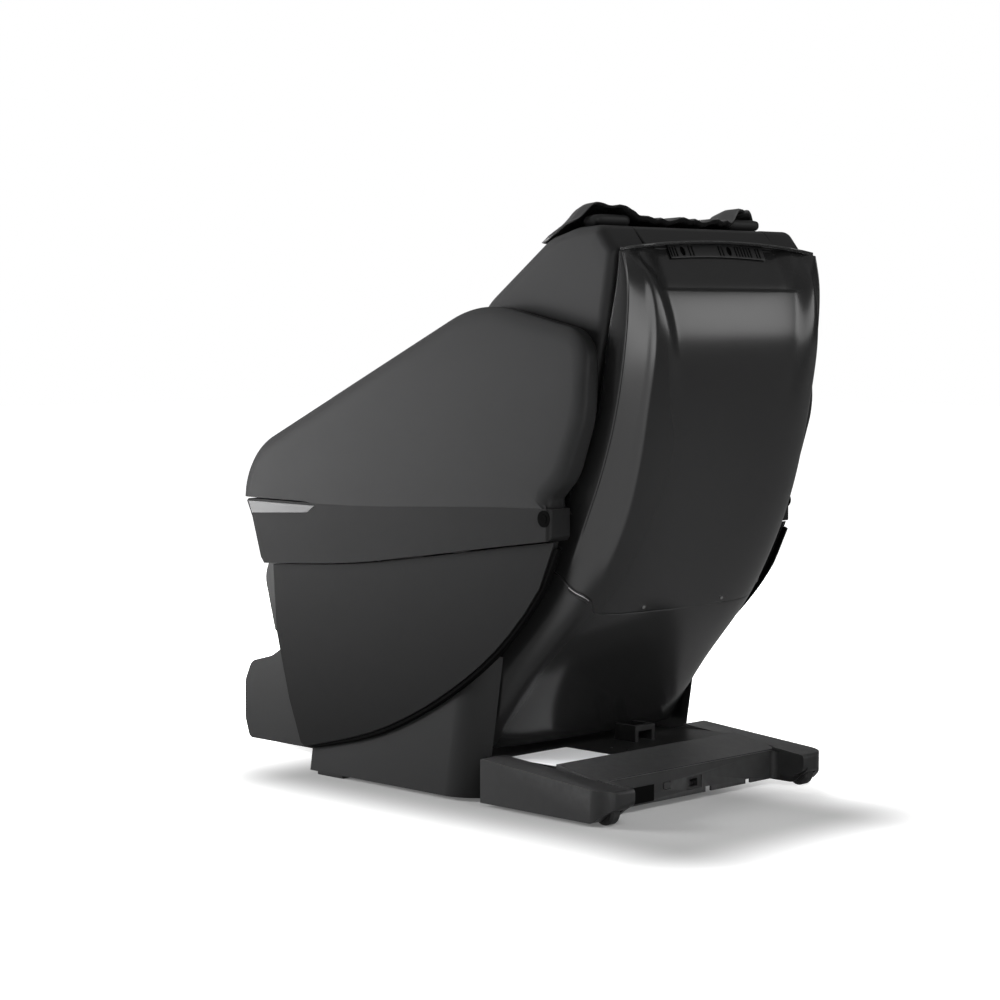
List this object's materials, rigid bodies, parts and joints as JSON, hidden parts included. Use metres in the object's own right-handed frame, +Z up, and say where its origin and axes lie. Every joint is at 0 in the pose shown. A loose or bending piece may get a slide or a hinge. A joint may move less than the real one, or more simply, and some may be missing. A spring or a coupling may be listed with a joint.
{
  "type": "massage chair",
  "caption": "Reclining massage chair with a gloss shell back, padded arms and wings, a lifting leg unit and rear transport wheels.",
  "frame": {"origin": "on the floor, at the underside of the centre foot, midway between the sides", "axes": "+X to the left side of a person seated in it, +Y towards the back of the chair, +Z up"},
  "size_m": [0.7456, 1.2938, 1.2065],
  "materials": {
    "frame_steel": "black powder coat",
    "bright_steel": "turned and ground",
    "base_plastic": "satin, fine grain",
    "pale_plate": "pale grey satin paint",
    "black_plastic": "fine grain",
    "rubber_black": "matt",
    "motor_dark": "matt",
    "side_plastic": "satin, fine grain",
    "silver_trim": "silver paint, satin",
    "leather_dark": "smooth satin artificial leather",
    "leather_pad": "smooth satin artificial leather",
    "gloss_cover": "high gloss",
    "leg_gloss": "gloss",
    "button_pale": "satin",
    "button_red": "satin"
  },
  "bodies": {
    "base": {"base_frame": "frame_steel", "deck": "base_plastic", "skirt_left": "base_plastic", "skirt_right": "base_plastic", "rear_beam_left": "base_plastic", "rear_beam_right": "base_plastic", "rear_fascia": "base_plastic", "service_plate": "pale_plate", "blank_plate": "black_plastic", "power_inlet": "black_plastic", "front_feet": "rubber_black", "caster_axles": "bright_steel", "seat_frame": "frame_steel", "control_box": "base_plastic", "air_pump": "motor_dark", "recline_motor": "motor_dark", "leg_motor": "motor_dark", "side_panel_left": "side_plastic", "side_panel_right": "side_plastic", "arm_band_left": "side_plastic", "arm_band_right": "side_plastic", "arm_shell_left": "leather_dark", "arm_shell_right": "leather_dark", "arm_trims": "silver_trim", "arm_caps": "black_plastic", "arm_pad_left": "leather_pad", "arm_pad_right": "leather_pad", "seat_cushion": "leather_pad", "controller_post": "black_plastic"},
    "caster_left": {"caster_wheel_left": "rubber_black"},
    "caster_right": {"caster_wheel_right": "rubber_black"},
    "power_switch": {"power_rocker": "black_plastic"},
    "recline_rod": {"recline_rod": "bright_steel"},
    "leg_rod": {"leg_rod": "bright_steel"},
    "controller": {"controller": "silver_trim"},
    "power_button": {"power_button": "button_pale"},
    "stop_button": {"stop_button": "button_red"},
    "backrest": {"back_frame": "frame_steel", "guide_rails": "frame_steel", "upper_back_cover": "gloss_cover", "lower_back_cover": "gloss_cover", "cover_rim": "gloss_cover", "vent_strip": "black_plastic", "side_louvres": "silver_trim", "cover_screws": "bright_steel", "wing_left": "leather_dark", "wing_right": "leather_dark", "top_cap": "leather_dark", "back_cushion": "leather_pad"},
    "head_pad": {"head_pad": "leather_dark"},
    "lift_screw": {"lift_screw": "bright_steel"},
    "carriage": {"massage_carriage": "motor_dark"},
    "knead_left": {"knead_arm_left": "motor_dark"},
    "knead_right": {"knead_arm_right": "motor_dark"},
    "legrest": {"leg_shell": "leg_gloss", "calf_pads": "leather_pad"},
    "footrest": {"foot_shell": "leg_gloss", "foot_pads": "leather_pad"}
  },
  "joints": [
    {"name": "caster_left_roll", "type": "hinge", "parent": "base", "child": "caster_left", "pos_m": [0.301, 0.562, 0.026], "axis": [1, 0, 0], "continuous": true},
    {"name": "caster_right_roll", "type": "hinge", "parent": "base", "child": "caster_right", "pos_m": [-0.301, 0.562, 0.026], "axis": [1, 0, 0], "continuous": true},
    {"name": "power_switch_tilt", "type": "hinge", "parent": "base", "child": "power_switch", "pos_m": [0.078, 0.5178, 0.042], "axis": [1, 0, 0], "range_deg": [-16, 0]},
    {"name": "recline", "type": "hinge", "parent": "base", "child": "backrest", "pos_m": [0, 0.155, 0.4], "axis": [-1, 0, 0], "range_deg": [0, 50]},
    {"name": "recline_drive", "type": "slide", "parent": "base", "child": "recline_rod", "axis": [0, -1, 0], "range_m": [0, 0.1273]},
    {"name": "leg_lift", "type": "hinge", "parent": "base", "child": "legrest", "pos_m": [0, -0.34, 0.395], "axis": [-1, 0, 0], "range_deg": [0, 85]},
    {"name": "leg_drive", "type": "slide", "parent": "base", "child": "leg_rod", "axis": [0, -1, 0], "range_m": [0, 0.1221]},
    {"name": "foot_extend", "type": "slide", "parent": "legrest", "child": "footrest", "axis": [0, 0, -1], "range_m": [0, 0.12]},
    {"name": "head_pad_flip", "type": "hinge", "parent": "backrest", "child": "head_pad", "pos_m": [0, 0.509, 1.166], "axis": [-1, 0, 0], "range_deg": [0, 90]},
    {"name": "carriage_lift", "type": "slide", "parent": "backrest", "child": "carriage", "axis": [0, 0.3256, 0.9455], "range_m": [0, 0.36]},
    {"name": "lift_screw_turn", "type": "hinge", "parent": "backrest", "child": "lift_screw", "pos_m": [0, 0.32642, 0.65826], "axis": [0, 0.3256, 0.9455], "range_deg": [0, 6480]},
    {"name": "knead_left_rock", "type": "hinge", "parent": "carriage", "child": "knead_left", "pos_m": [0.07, 0.30847, 0.56926], "axis": [1, 0, 0], "range_deg": [-10, 10]},
    {"name": "knead_right_rock", "type": "hinge", "parent": "carriage", "child": "knead_right", "pos_m": [-0.07, 0.30847, 0.56926], "axis": [1, 0, 0], "range_deg": [-10, 10]},
    {"name": "controller_turn", "type": "hinge", "parent": "base", "child": "controller", "pos_m": [0.262, 0.06, 0.8], "axis": [0, 0, 1], "range_deg": [0, 60]},
    {"name": "power_button_press", "type": "slide", "parent": "controller", "child": "power_button", "axis": [0, 0.9703, -0.2419], "range_m": [0, 0.001], "stiffness_N_per_m": 400},
    {"name": "stop_button_press", "type": "slide", "parent": "controller", "child": "stop_button", "axis": [0, 0.9703, -0.2419], "range_m": [0, 0.001], "stiffness_N_per_m": 400}
  ],
  "couplings": [
    {"joint": "recline_drive", "follows": "recline", "m_per_rad": 0.14529},
    {"joint": "leg_drive", "follows": "leg_lift", "m_per_rad": 0.08197},
    {"joint": "foot_extend", "follows": "leg_lift", "m_per_rad": 0.08088},
    {"joint": "lift_screw_turn", "follows": "carriage_lift", "rad_per_m": 314.15}
  ]
}
